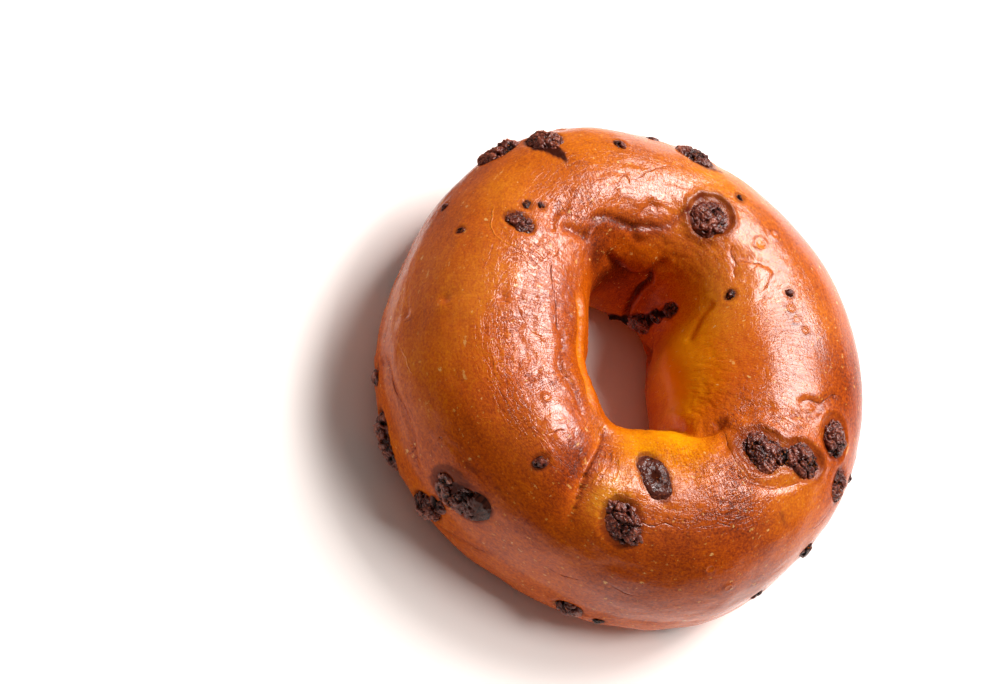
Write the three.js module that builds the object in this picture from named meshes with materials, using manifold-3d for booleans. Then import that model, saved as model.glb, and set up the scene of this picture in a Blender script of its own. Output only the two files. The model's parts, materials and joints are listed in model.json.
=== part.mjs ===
// A chocolate chip bagel: one baked ring of dough with chocolate chips set into its crust.
// Millimetres, +Z up. It stands on the flat that it was baked on, with the origin at the middle of that base.
//
// A place on the ring is two angles in degrees: `ring` goes round the hole from +X towards +Y, and `tube`
// goes round the dough itself, with 0 facing outwards, 90 the crown, 180 the hole and 270 the base.
import * as THREE from "three";
import { mergeVertices } from "three/addons/utils/BufferGeometryUtils.js";
import Module from "manifold-3d";

// ---- Driving dimensions ----

const bagel = {
  outerRadius: 54.6,
  crownHeight: 41,
  widestHeight: 17.5, // height at which the ring is widest
  baseSink: 1.6, // how far the baking sheet flattened the underside
  holeLong: 15.5, // half the length of the hole at its narrowest
  holeShort: 9.5, // half its width
  holeTurn: 146, // direction of its long axis
  crownPower: 2.15, // 2 is an ellipse, and more is squarer
  lipPower: 2.5,
  basePower: 2.7,
};

// Where hand rolling left the ring thicker or thinner: at this ring angle, over this spread, by this much.
const outlineLobes = [
  { at: 150, spread: 24, mm: 2.2 },
  { at: 203, spread: 26, mm: -1.9 },
  { at: 284, spread: 30, mm: -2.6 },
  { at: 75, spread: 45, mm: 0.9 },
  { at: 245, spread: 20, mm: -0.8 },
  { at: 330, spread: 16, mm: 0.6 },
];
const holeLobes = [
  { at: 140, spread: 34, mm: 5.0 },
  { at: 100, spread: 24, mm: 5.0 },
  { at: 284, spread: 24, mm: 4.6 },
  { at: 245, spread: 20, mm: 2.2 },
  { at: 40, spread: 22, mm: -0.6 },
];
const crownLobes = [
  { at: 230, spread: 40, mm: 0.8 },
  { at: 300, spread: 26, mm: -0.9 },
  { at: 20, spread: 40, mm: 0.6 },
  { at: 120, spread: 26, mm: -0.8 },
];

// Rounded swellings (or, below zero, hollows) of the dough.
const swells = [
  { at: [30, 158], spread: 8, mm: 1.5 }, // the bulge down the hole's far wall
  { at: [64, 168], spread: 6, mm: 0.9 },
  { at: [132, 150], spread: 5, mm: 1.2 }, // the shelf under the crown
  { at: [314, 128], spread: 7, mm: 1.3 }, // the lip where the rope's ends meet
  { at: [248, 118], spread: 6, mm: 0.7 },
  { at: [212, 122], spread: 5, mm: 0.8 },
  { at: [172, 72], spread: 9, mm: -0.8 },
  { at: [152, 100], spread: 6, mm: 0.5 },
];

// Folds and creases: a path of places, the half width and the depth of the groove.
const creases = [
  { path: [[281, 112], [285, 99], [285, 87], [286, 74], [287, 62]], width: 2.2, depth: 1.5 }, // rope's seam
  { path: [[123, 140], [124, 157], [124, 171], [121, 183], [118, 195]], width: 1.8, depth: 2.2 },
  { path: [[352, 185], [340, 158], [337, 136], [345, 127], [358, 120]], width: 2.0, depth: 1.4 },
  { path: [[84, 188], [88, 202], [92, 214]], width: 1.6, depth: 1.2 },
  { path: [[180, 101], [192, 100], [204, 104], [218, 108], [230, 112]], width: 1.7, depth: 0.9 },
  { path: [[230, 112], [243, 109], [256, 107], [268, 105], [278, 97]], width: 1.7, depth: 0.9 },
  { path: [[166, 118], [172, 107], [176, 96]], width: 1.8, depth: 0.9 },
  { path: [[165, 109], [155, 114], [142, 125], [128, 122], [120, 110]], width: 1.8, depth: 0.7 },
  { path: [[352, 114], [347, 104], [345, 92], [349, 80], [356, 68]], width: 1.7, depth: 0.7 },
];

// Chocolate chips as large as berries. `size` is length, width and thickness, `turn` is the direction of the
// length on the crust, from the ring's own direction towards higher tube angles, and `proud` is how far the
// chip stands out. On the base the baking sheet pressed each one flush.
const chips = [
  { name: "chip_rim_left", at: [166.4, 22], size: [9.8, 8.0, 5.8], turn: -23, proud: 1.9 },
  { name: "chip_rim_top", at: [158.5, 44], size: [10.6, 8.2, 5.8], turn: 90, proud: 1.5 },
  { name: "chip_rim_far", at: [117.5, 51], size: [9.8, 7.4, 5.4], turn: -28, proud: 1.6 },
  { name: "chip_round", at: [109.5, 100], size: [8.4, 8.2, 5.8], turn: 0, proud: 1.4 },
  { name: "chip_crown_left", at: [186.5, 77.5], size: [7.8, 6.0, 4.2], turn: 78, proud: 0.7 },
  { name: "chip_hole_wall", at: [107, 190], size: [8.4, 6.0, 5.2], turn: 70, proud: 1.5 },
  { name: "chip_hole_high", at: [98, 166.5], size: [6.8, 4.4, 4.2], turn: 70, proud: 0.9 },
  { name: "chip_lip_upper", at: [307.8, 96.5], size: [11.6, 8.6, 5.4], turn: -55, proud: 0.9 },
  { name: "chip_lip_lower", at: [299.8, 66.8], size: [11.8, 9.2, 5.4], turn: -34, proud: 1.0 },
  { name: "chip_pair_large", at: [355.8, 93.5], size: [10.6, 9.6, 5.8], turn: -50, proud: 1.2 },
  { name: "chip_pair_small", at: [5.4, 74.5], size: [8.8, 8.0, 5.6], turn: -70, proud: 1.3 },
  { name: "chip_side_oval", at: [19, 61], size: [9.4, 7.8, 5.2], turn: 19, proud: 1.2 },
  { name: "chip_side_small", at: [11.6, 40], size: [8.0, 6.8, 5.0], turn: 60, proud: 1.2 },
  { name: "chip_front_melted", at: [266, 17], size: [12.0, 9.8, 5.6], turn: 40, proud: 0.9 },
  { name: "chip_front_proud", at: [259.6, 350], size: [8.2, 7.0, 6.2], turn: 20, proud: 2.4 },
  { name: "chip_front_left", at: [241, 341], size: [13.0, 7.2, 6.0], turn: -17, proud: 1.9 },
  { name: "chip_front_low", at: [300, 352], size: [7.2, 6.2, 5.0], turn: 0, proud: 1.5 },
  { name: "chip_back_a", at: [41, 352], size: [8.4, 7.2, 5.2], turn: 30, proud: 1.2 },
  { name: "chip_back_b", at: [76, 14], size: [9.2, 7.0, 5.2], turn: -40, proud: 1.0 },
  { name: "chip_back_c", at: [109, 341], size: [8.0, 6.6, 5.0], turn: 10, proud: 1.3 },
  { name: "chip_back_d", at: [141, 357], size: [7.6, 7.0, 5.0], turn: 70, proud: 1.0 },
  { name: "chip_back_e", at: [193, 320], size: [8.6, 7.0, 5.2], turn: -15, proud: 1.3 },
  { name: "chip_back_f", at: [332, 318], size: [8.0, 6.6, 5.0], turn: 25, proud: 1.2 },
  { name: "chip_base_a", at: [22, 268], size: [8.6, 7.2, 5.0], turn: 30, proud: 0.9 },
  { name: "chip_base_b", at: [98, 274], size: [8.0, 6.8, 5.0], turn: -50, proud: 0.9 },
  { name: "chip_base_c", at: [176, 263], size: [9.0, 7.0, 5.0], turn: 15, proud: 0.9 },
  { name: "chip_base_d", at: [262, 272], size: [7.8, 7.2, 5.0], turn: 80, proud: 0.9 },
];

// Smaller chips and crumbs of chocolate, fused to the crust: place and diameter.
const crumbs = [
  { at: [179.6, 76], size: 2.6 },
  { at: [176.2, 83.5], size: 2.0 },
  { at: [271, 69], size: 3.8 },
  { at: [140.6, 67], size: 2.8 },
  { at: [79, 119], size: 2.6 },
  { at: [67.8, 88], size: 2.2 },
  { at: [186.6, 21], size: 2.2 },
  { at: [195.6, 46], size: 2.0 },
  { at: [102.8, 75], size: 2.5 },
  { at: [344, 5], size: 3.2 },
  { at: [0.5, 84.5], size: 4.4 }, // between the pair
  { at: [358, 17], size: 4.6 },
  { at: [18.5, 25], size: 3.0 },
  { at: [308, 349], size: 3.4 },
  { at: [227, 349], size: 3.8 },
  { at: [128, 40], size: 3.2 },
  { at: [58, 20], size: 3.0 },
  { at: [92, 350], size: 3.4 },
  { at: [158, 340], size: 2.8 },
  { at: [212, 225], size: 3.6 },
  { at: [15, 330], size: 3.0 },
];

const socketGap = 0.35; // clear space between a chip and its socket in the crust
const chipFloor = 0.25; // no chip reaches lower than this, so the crust alone carries the bagel
const crumbSink = 0.25; // share of a crumb's size by which its middle lies under the crust
const crumbTurn = 40; // degrees from one crumb's turn to the next one's
const chipRoughness = 0.1; // how far a chip's facets stray from a smooth pebble
const ringSteps = 88;
const tubeSteps = { crown: 10, lip: 12, under: 9, outer: 10 }; // from 0 to 90, 180, 270 and 360 degrees
const smallestStep = 0.5; // step in degrees for measuring a slope

// ---- Helpers ----

const radians = THREE.MathUtils.degToRad;

function lobesAt(lobes, ringAngle) {
  const total = (sum, lobe) => {
    const away = THREE.MathUtils.euclideanModulo(ringAngle - lobe.at + 180, 360) - 180;
    return sum + lobe.mm * Math.exp(-((away / lobe.spread) ** 2));
  };
  return lobes.reduce(total, 0);
}

// A repeatable number from -1 to 1 for each whole number.
function jitter(n) {
  const wave = Math.sin(n * 127.1 + 311.7) * 43758.5453;
  return 2 * (wave - Math.floor(wave)) - 1;
}

// ---- The form of the ring ----

// Half the hole's width in one direction, as an ellipse with lobes.
function holeRadius(ringAngle) {
  const turn = radians(ringAngle - bagel.holeTurn);
  const ellipse = Math.hypot(bagel.holeShort * Math.cos(turn), bagel.holeLong * Math.sin(turn));
  return (bagel.holeLong * bagel.holeShort) / ellipse + lobesAt(holeLobes, ringAngle);
}

// A point of the smooth ring, before any swelling or crease.
function smoothPoint(ringAngle, tubeAngle) {
  const outer = bagel.outerRadius + lobesAt(outlineLobes, ringAngle);
  const inner = holeRadius(ringAngle);
  const crown = bagel.crownHeight + lobesAt(crownLobes, ringAngle);
  const across = Math.cos(radians(tubeAngle));
  const up = Math.sin(radians(tubeAngle));
  const power = up < 0 ? bagel.basePower : across > 0 ? bagel.crownPower : bagel.lipPower;
  const squared = (value) => Math.sign(value) * Math.abs(value) ** (2 / power);
  const reach = up > 0 ? crown - bagel.widestHeight : bagel.widestHeight + bagel.baseSink;
  const radius = (outer + inner) / 2 + ((outer - inner) / 2) * squared(across);
  const height = Math.max(bagel.widestHeight + reach * squared(up), 0);
  const turn = radians(ringAngle);
  return new THREE.Vector3(radius * Math.cos(turn), radius * Math.sin(turn), height);
}

// The smooth ring's outward direction, its own direction, and the direction towards the crown, at one place.
function directions(ringAngle, tubeAngle) {
  const slope = (ringStep, tubeStep) =>
    smoothPoint(ringAngle + ringStep, tubeAngle + tubeStep)
      .sub(smoothPoint(ringAngle - ringStep, tubeAngle - tubeStep))
      .normalize();
  const along = slope(smallestStep, 0);
  const round = slope(0, smallestStep);
  const out = new THREE.Vector3().crossVectors(along, round).normalize();
  return { out, along, round: new THREE.Vector3().crossVectors(out, along) };
}

const swellPoints = swells.map((swell) => ({ ...swell, point: smoothPoint(...swell.at) }));

const samplesPerStretch = 8;
const creasePoints = creases.map((crease) => {
  const points = [];
  for (let i = 0; i + 1 < crease.path.length; i++)
    for (let k = 0; k <= samplesPerStretch; k++) {
      const share = k / samplesPerStretch;
      const [start, end] = [crease.path[i], crease.path[i + 1]];
      const ringAngle = THREE.MathUtils.lerp(start[0], end[0], share);
      const tubeAngle = THREE.MathUtils.lerp(start[1], end[1], share);
      points.push(smoothPoint(ringAngle, tubeAngle));
    }
  return { ...crease, points };
});

// How far the crust stands out from the smooth ring at a point of it.
function reliefAt(point) {
  let relief = 0;
  for (const swell of swellPoints)
    relief += swell.mm * Math.exp(-((point.distanceTo(swell.point) / swell.spread) ** 2));
  for (const crease of creasePoints) {
    const nearest = Math.min(...crease.points.map((p) => p.distanceTo(point)));
    relief -= crease.depth * Math.exp(-((nearest / crease.width) ** 2));
  }
  return relief;
}

function crustPoint(ringAngle, tubeAngle) {
  const point = smoothPoint(ringAngle, tubeAngle);
  if (point.z === 0) return point;
  const moved = point.clone().addScaledVector(directions(ringAngle, tubeAngle).out, reliefAt(point));
  moved.z = Math.max(moved.z, 0);
  return moved;
}

// Tube angles of the rows of facets, closest together on the lip, where the folds are.
function tubeAngles() {
  const quarters = [tubeSteps.crown, tubeSteps.lip, tubeSteps.under, tubeSteps.outer];
  return quarters.flatMap((steps, quarter) =>
    Array.from({ length: steps }, (_, i) => 90 * (quarter + i / steps)),
  );
}

// The ring as one closed grid of triangles, with no chips yet.
function ringGeometry() {
  const angles = tubeAngles();
  const positions = [];
  for (let i = 0; i < ringSteps; i++)
    for (const tubeAngle of angles) positions.push(...crustPoint((360 * i) / ringSteps, tubeAngle));
  const at = (i, j) => (i % ringSteps) * angles.length + (j % angles.length);
  const index = [];
  for (let i = 0; i < ringSteps; i++)
    for (let j = 0; j < angles.length; j++) {
      index.push(at(i, j), at(i + 1, j), at(i + 1, j + 1));
      index.push(at(i, j), at(i + 1, j + 1), at(i, j + 1));
    }
  const geometry = new THREE.BufferGeometry();
  geometry.setAttribute("position", new THREE.Float32BufferAttribute(positions, 3));
  geometry.setIndex(index);
  return geometry;
}

// ---- Chocolate ----

// Only the shared corners of a three.js shape, as a closed solid needs them.
function bareGeometry(geometry) {
  geometry.deleteAttribute("normal");
  geometry.deleteAttribute("uv");
  return mergeVertices(geometry);
}

// Lays a shape in the crust: its +Z outwards, and its +X turned from the ring's own direction.
function layInCrust(geometry, at, turn, lift) {
  const { out, along, round } = directions(...at);
  const centre = crustPoint(...at).addScaledVector(out, lift);
  const place = new THREE.Matrix4().makeBasis(along, round, out).setPosition(centre);
  return geometry.applyMatrix4(place.multiply(new THREE.Matrix4().makeRotationZ(radians(turn))));
}

// A rough pebble of chocolate, lying in the crust. `grow` widens it all round, for its socket.
function chipGeometry(chip, number, grow = 0) {
  const geometry = bareGeometry(new THREE.IcosahedronGeometry(1, 1));
  const corners = geometry.getAttribute("position");
  const half = new THREE.Vector3(...chip.size).multiplyScalar(0.5).addScalar(grow);
  const corner = new THREE.Vector3();
  for (let i = 0; i < corners.count; i++) {
    const reach = 1 + chipRoughness * jitter(number * 97 + i);
    corner.fromBufferAttribute(corners, i).multiply(half).multiplyScalar(reach);
    corners.setXYZ(i, ...corner);
  }
  return layInCrust(geometry, chip.at, chip.turn, chip.proud - chip.size[2] / 2);
}

// A crumb of chocolate, mostly sunk in the crust.
function crumbGeometry(crumb, number) {
  const geometry = bareGeometry(new THREE.IcosahedronGeometry(crumb.size / 2, 0));
  return layInCrust(geometry, crumb.at, number * crumbTurn, -crumbSink * crumb.size);
}

// ---- Solids ----

const wasm = await Module();
wasm.setup();

function toSolid(geometry) {
  return new wasm.Manifold(
    new wasm.Mesh({
      numProp: 3,
      vertProperties: new Float32Array(geometry.getAttribute("position").array),
      triVerts: new Uint32Array(geometry.index.array),
    }),
  );
}

function toGeometry(solid) {
  const mesh = solid.getMesh();
  const geometry = new THREE.BufferGeometry();
  geometry.setAttribute("position", new THREE.BufferAttribute(new Float32Array(mesh.vertProperties), 3));
  geometry.setIndex(new THREE.BufferAttribute(new Uint32Array(mesh.triVerts), 1));
  geometry.computeVertexNormals();
  return geometry;
}

// The largest of the bodies that a cut leaves, so that no scrap stays behind.
function largestBody(solid) {
  return solid.decompose().reduce((best, body) => (body.volume() > best.volume() ? body : best));
}

// Everything higher than chipFloor.
function aboveTheBase() {
  const side = 4 * bagel.outerRadius;
  const box = new THREE.BoxGeometry(side, side, side).translate(0, 0, side / 2 + chipFloor);
  return toSolid(bareGeometry(box));
}

const crustMaterial = new THREE.MeshStandardMaterial({ color: "#b5601f", roughness: 0.35, metalness: 0 });
const chocolateMaterial = new THREE.MeshStandardMaterial({ color: "#3a2220", roughness: 0.5, metalness: 0 });

function addPiece(group, name, solid, material) {
  const mesh = new THREE.Mesh(toGeometry(solid), material);
  mesh.name = name;
  group.add(mesh);
}

function makeBagel() {
  const group = new THREE.Group();
  const clearOfBase = aboveTheBase();
  let dough = toSolid(ringGeometry());
  crumbs.forEach((crumb, number) => {
    dough = dough.add(toSolid(crumbGeometry(crumb, number)));
  });
  chips.forEach((chip, number) => {
    dough = dough.subtract(toSolid(chipGeometry(chip, number, socketGap)));
    addPiece(group, chip.name, toSolid(chipGeometry(chip, number)).intersect(clearOfBase), chocolateMaterial);
  });
  addPiece(group, "dough", largestBody(dough), crustMaterial);

  const box = new THREE.Box3().setFromObject(group);
  const middle = box.getCenter(new THREE.Vector3());
  group.position.set(-middle.x, -middle.y, -box.min.z);
  return group;
}

export default makeBagel();
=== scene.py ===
import itertools
import json
import math
import bpy
import numpy as np
from mathutils import Matrix, Vector

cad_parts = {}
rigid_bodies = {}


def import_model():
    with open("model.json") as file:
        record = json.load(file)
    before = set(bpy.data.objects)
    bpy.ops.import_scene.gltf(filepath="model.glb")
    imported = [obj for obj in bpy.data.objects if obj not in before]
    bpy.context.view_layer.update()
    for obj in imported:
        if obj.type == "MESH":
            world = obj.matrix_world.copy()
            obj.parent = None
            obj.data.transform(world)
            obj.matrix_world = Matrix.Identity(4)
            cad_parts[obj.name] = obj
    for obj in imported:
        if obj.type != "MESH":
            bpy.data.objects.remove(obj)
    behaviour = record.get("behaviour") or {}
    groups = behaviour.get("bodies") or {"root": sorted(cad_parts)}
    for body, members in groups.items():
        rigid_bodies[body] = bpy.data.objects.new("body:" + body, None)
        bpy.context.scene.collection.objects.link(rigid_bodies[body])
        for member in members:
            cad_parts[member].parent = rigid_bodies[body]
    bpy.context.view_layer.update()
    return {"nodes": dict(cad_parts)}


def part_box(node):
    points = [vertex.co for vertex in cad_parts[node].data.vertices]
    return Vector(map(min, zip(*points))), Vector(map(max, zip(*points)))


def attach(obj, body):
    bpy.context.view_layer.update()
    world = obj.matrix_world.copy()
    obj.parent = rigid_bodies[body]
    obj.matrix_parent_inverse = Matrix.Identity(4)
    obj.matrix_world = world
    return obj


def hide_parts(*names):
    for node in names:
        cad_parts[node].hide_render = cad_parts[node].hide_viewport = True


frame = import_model()
mm = 0.001
print("frame loaded:", len(frame["nodes"]), "nodes")

# A place on the ring is two angles in degrees: the ring angle goes round the hole from +X towards +Y,
# and the tube angle goes round the dough, with 0 outwards, 90 at the crown, 180 in the hole, 270 below.
bagel = {
    "centre": (0.231, -0.747),  # mm, of the ring in the frame
    "outerRadius": 54.6,
    "crownHeight": 41.0,
    "widestHeight": 17.5,
    "baseSink": 1.6,
    "holeLong": 15.5,
    "holeShort": 9.5,
    "holeTurn": 146,
    "crownPower": 2.15,  # 2 is an ellipse, more is squarer
    "lipPower": 2.5,
    "basePower": 2.7,
    # a lobe is its ring angle, its spread in degrees and its mm
    "outlineLobes": [
        (150, 24, 2.2), (203, 26, -1.9), (284, 30, -2.6), (75, 45, 0.9), (245, 20, -0.8), (330, 16, 0.6),
    ],
    "holeLobes": [(140, 34, 5.0), (100, 24, 5.0), (284, 24, 4.6), (245, 20, 2.2), (40, 22, -0.6)],
    "crownLobes": [(230, 40, 0.8), (300, 26, -0.9), (20, 40, 0.6), (120, 26, -0.8)],
    # the skin's patterns are laid out on a tube: mm from the middle to its crown, and mm for each degree
    # round it
    "crownRadius": 33,
    "degreeLength": 0.33,
}


def toLinear(hexColour):
    # sRGB hex to the linear colour that Blender works in
    parts = [int(hexColour[i:i + 2], 16) / 255 for i in (1, 3, 5)]
    return tuple([c / 12.92 if c <= 0.04045 else ((c + 0.055) / 1.055) ** 2.4 for c in parts] + [1.0])


def cellNumber(cell, seed):
    # a number from -1 to 1 for each cell of space, the same on every run
    key = (cell[:, 0] * 73856093) ^ (cell[:, 1] * 19349663) ^ (cell[:, 2] * 83492791) ^ (seed * 2654435)
    key = ((key ^ (key >> 13)) * 1274126177) & 0xFFFFFFFF
    key = ((key ^ (key >> 15)) * 2246822519) & 0xFFFFFFFF
    return ((key ^ (key >> 16)) & 0xFFFF) / 32767.5 - 1


def softNoise(points, size, seed):
    # smooth noise from -1 to 1 with lumps about `size` across
    grid = points / size
    base = np.floor(grid).astype(np.int64)
    part = grid - base
    fade = part * part * (3 - 2 * part)
    total = np.zeros(len(points))
    for corner in itertools.product((0, 1), repeat=3):
        weight = np.prod(np.where(np.array(corner) == 1, fade, 1 - fade), axis=1)
        total += cellNumber(base + np.array(corner), seed) * weight
    return total


def roughNoise(points, size, seed, octaves=3):
    total = np.zeros(len(points))
    for octave in range(octaves):
        total += softNoise(points, size / 2 ** octave, seed + octave) / 2 ** octave
    return total


def pebbleNoise(points, size, seed):
    # 0 in the cracks between pebbles about `size` across, rising to 1 on top of them
    grid = points / size
    base = np.floor(grid).astype(np.int64)
    nearest = np.full(len(points), 9.0)
    second = np.full(len(points), 9.0)
    for step in itertools.product((-1, 0, 1), repeat=3):
        cell = base + np.array(step)
        spot = cell + 0.5 + 0.42 * np.stack([cellNumber(cell, seed + axis) for axis in range(3)], axis=1)
        away = np.linalg.norm(grid - spot, axis=1)
        second = np.minimum(second, np.maximum(nearest, away))
        nearest = np.minimum(nearest, away)
    return np.clip((second - nearest) / 0.6, 0, 1)


def rise(low, high, values):
    part = np.clip((values - low) / (high - low), 0, 1)
    return part * part * (3 - 2 * part)


def bell(values):
    return np.exp(-values ** 2)


def turnFrom(at, ringAngle):
    # degrees from one ring angle to others, the short way round
    return (ringAngle - at + 180) % 360 - 180


def lobeSum(lobes, ringAngle):
    total = np.zeros_like(ringAngle)
    for at, spread, height in lobes:
        total += height * bell(turnFrom(at, ringAngle) / spread)
    return total


def smoothPoints(ringAngle, tubeAngle):
    # the smooth ring in mm, about its own centre
    outer = bagel["outerRadius"] + lobeSum(bagel["outlineLobes"], ringAngle)
    turn = np.radians(ringAngle - bagel["holeTurn"])
    long, short = bagel["holeLong"], bagel["holeShort"]
    inner = long * short / np.hypot(short * np.cos(turn), long * np.sin(turn))
    inner = inner + lobeSum(bagel["holeLobes"], ringAngle)
    crown = bagel["crownHeight"] + lobeSum(bagel["crownLobes"], ringAngle)
    across, up = np.cos(np.radians(tubeAngle)), np.sin(np.radians(tubeAngle))
    upper = np.where(across > 0, bagel["crownPower"], bagel["lipPower"])
    power = np.where(up < 0, bagel["basePower"], upper)
    widest = bagel["widestHeight"]
    reach = np.where(up > 0, crown - widest, widest + bagel["baseSink"])
    radius = (outer + inner) / 2 + (outer - inner) / 2 * np.sign(across) * np.abs(across) ** (2 / power)
    height = np.maximum(widest + reach * np.sign(up) * np.abs(up) ** (2 / power), 0)
    angle = np.radians(ringAngle)
    return np.stack([radius * np.cos(angle), radius * np.sin(angle), height], axis=-1)


def smoothPoint(place):
    return smoothPoints(np.array([place[0]], dtype=float), np.array([place[1]], dtype=float))[0]


def distanceTo(place, points):
    return np.linalg.norm(points - smoothPoint(place), axis=1)


def spots(points, places):
    total = np.zeros(len(points))
    for place, spread, amount in places:
        total += amount * bell(distanceTo(place, points) / spread)
    return total


def unit(vectors):
    return vectors / np.maximum(np.linalg.norm(vectors, axis=-1, keepdims=True), 1e-9)


def directions(ringAngle, tubeAngle):
    # outwards, along the ring, and towards higher tube angles
    step = 0.5
    along = unit(smoothPoints(ringAngle + step, tubeAngle) - smoothPoints(ringAngle - step, tubeAngle))
    rounds = unit(smoothPoints(ringAngle, tubeAngle + step) - smoothPoints(ringAngle, tubeAngle - step))
    out = unit(np.cross(along, rounds))
    return out, along, np.cross(out, along)


def chipForm(name):
    # centre, axes and half lengths in mm of a CAD chip, about the ring's centre
    node = frame["nodes"][name]
    corners = np.empty(len(node.data.vertices) * 3)
    node.data.vertices.foreach_get("co", corners)
    corners = np.unique(np.round(corners.reshape(-1, 3) / mm, 3), axis=0)
    corners[:, :2] -= bagel["centre"]
    centre = corners.mean(axis=0)
    spread, axes = np.linalg.eigh(np.cov((corners - centre).T))
    reach = np.abs((corners - centre) @ axes).max(axis=0)
    return {"centre": centre, "axes": axes, "half": reach}


chipNames = sorted(name for name in frame["nodes"] if name.startswith("chip_"))
chipForms = {name: chipForm(name) for name in chipNames}
print("chips read:", len(chipNames))


def distanceToChip(points, form):
    # mm from the chip's outside, below 0 inside it
    local = (points - form["centre"]) @ form["axes"]
    share = np.maximum(np.linalg.norm(local / form["half"], axis=1), 1e-6)
    return np.linalg.norm(local, axis=1) * (1 - 1 / share)


# Rounded swellings of the dough: place, spread and height in mm.
swells = [
    ((30, 158), 8, 1.5), ((64, 168), 6, 0.9), ((132, 150), 5, 1.2), ((314, 128), 7, 1.3),
    ((248, 118), 6, 0.7), ((212, 122), 5, 0.8), ((172, 72), 9, -0.8), ((152, 100), 6, 0.5),
    ((266, 88), 7, 0.9), ((293, 88), 5, 0.6),
]
# Folds: half width, depth of the groove, how much higher its left side is (seen from outside along the
# path), all in mm, how much darker the groove is painted, as shade, or below 0 paler where it baked less,
# and the path.
folds = [
    (0.6, 1.5, 0.7, 0.4, [(124, 150), (120.5, 160), (122, 169.5), (121.5, 178), (118, 189), (116, 199)]),
    (1.7, 1.6, 0.5, 0.1, [(352, 185), (340, 158), (337, 136), (345, 127), (358, 120)]),
    (1.4, 1.2, 0.0, 0.2, [(84, 188), (88, 202), (92, 214)]),
    (0.8, 0.5, 0.35, 0.1, [(226, 109), (231, 113), (237, 113), (241, 109), (247, 107), (256, 110),
                           (264, 109), (273, 104)]),
    (1.0, 0.7, 0.7, -0.3, [(190, 122), (204, 126), (220, 130), (236, 132), (248, 131), (262, 127),
                           (275, 117)]),
    (1.0, 0.6, -0.35, 0.25, [(165, 108), (155, 113), (142, 125), (127, 121), (121, 110), (118, 99)]),
    (1.2, 0.8, 0.2, 0.2, [(166, 118), (172, 105), (176, 95)]),
    (1.0, 0.7, 0.4, 0.15, [(158, 134), (149.5, 147.5), (140, 157), (133, 159), (127, 156), (122, 146),
                           (118, 136)]),
    (1.0, 0.45, 0.3, 0.1, [(139, 122), (140, 130), (136, 134), (131, 130), (126, 121)]),
    (0.9, 0.35, 0.25, 0.05, [(138, 116), (135, 111), (133, 107), (129, 109)]),
    (1.1, 0.35, 0.2, 0.1, [(169, 97), (172, 92), (176, 92), (182, 94)]),
    (0.9, 0.2, -0.25, 0.1, [(96, 102), (94, 107), (90, 109), (88, 112), (84, 114)]),
    (0.9, 0.18, -0.25, 0.05, [(92, 108), (87, 100), (82, 94), (78, 91), (75, 94), (72, 100), (68, 107)]),
    (0.9, 0.4, 0.2, 0.1, [(82, 130), (77, 143), (61, 151)]),
    (1.0, 0.4, 0.25, 0.1, [(21, 91), (25, 86), (26, 79), (30, 73), (33, 66)]),
    (0.9, 0.35, -0.2, 0.1, [(16, 92), (18, 87), (21, 81), (25, 76)]),
    (1.0, 0.35, 0.2, 0.0, [(1, 117), (9, 110), (14, 103), (16, 97)]),
    (0.9, 0.3, -0.25, 0.05, [(337, 101), (340, 94), (344, 87), (349, 79), (355, 72), (2, 67), (9, 66),
                             (14, 69)]),
    (0.9, 0.35, 0.2, 0.0, [(349, 117), (346, 111), (343, 104)]),
    (1.0, 0.45, 0.3, 0.15, [(209, 352), (219, 2), (227, 6), (233, 9), (240, 13), (246, 12), (250, 6),
                            (255, 0)]),
    (0.9, 0.3, 0.2, 0.1, [(258, 335), (264, 340), (268, 347), (273, 353), (279, 359)]),
    # the side that is turned away
    (1.0, 0.4, 0.25, 0.1, [(30, 6), (44, 9), (58, 5), (70, 8)]),
    (0.9, 0.35, 0.2, 0.1, [(98, 24), (108, 20), (120, 23), (131, 19)]),
    (0.9, 0.35, 0.2, 0.1, [(148, 12), (160, 8), (172, 11)]),
    (1.0, 0.5, 0.2, 0.1, [(60, 200), (74, 205), (88, 202)]),
    (1.0, 0.5, 0.2, 0.1, [(180, 190), (200, 186), (222, 192)]),
]
# The seam, where one end of the rolled rope laps over the other: its path, and on its left and right side
# how deep in mm the dough falls to it, over how many mm, and how much darker it is painted: on the left it
# is painted shade beside the lap with some browning, and below 0 on the right it is paler where it baked
# less.
seam = {
    "path": [
        (282, 126), (283.5, 114), (284, 97.5), (284, 88), (285, 76), (286, 65), (287.5, 49.5), (288, 35),
    ],
    "left": {"depth": 1.3, "over": 4.5, "shadeAndBake": 0.3},
    "right": {"depth": 2.2, "over": 2.4, "shadeAndBake": -0.12},
}
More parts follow.
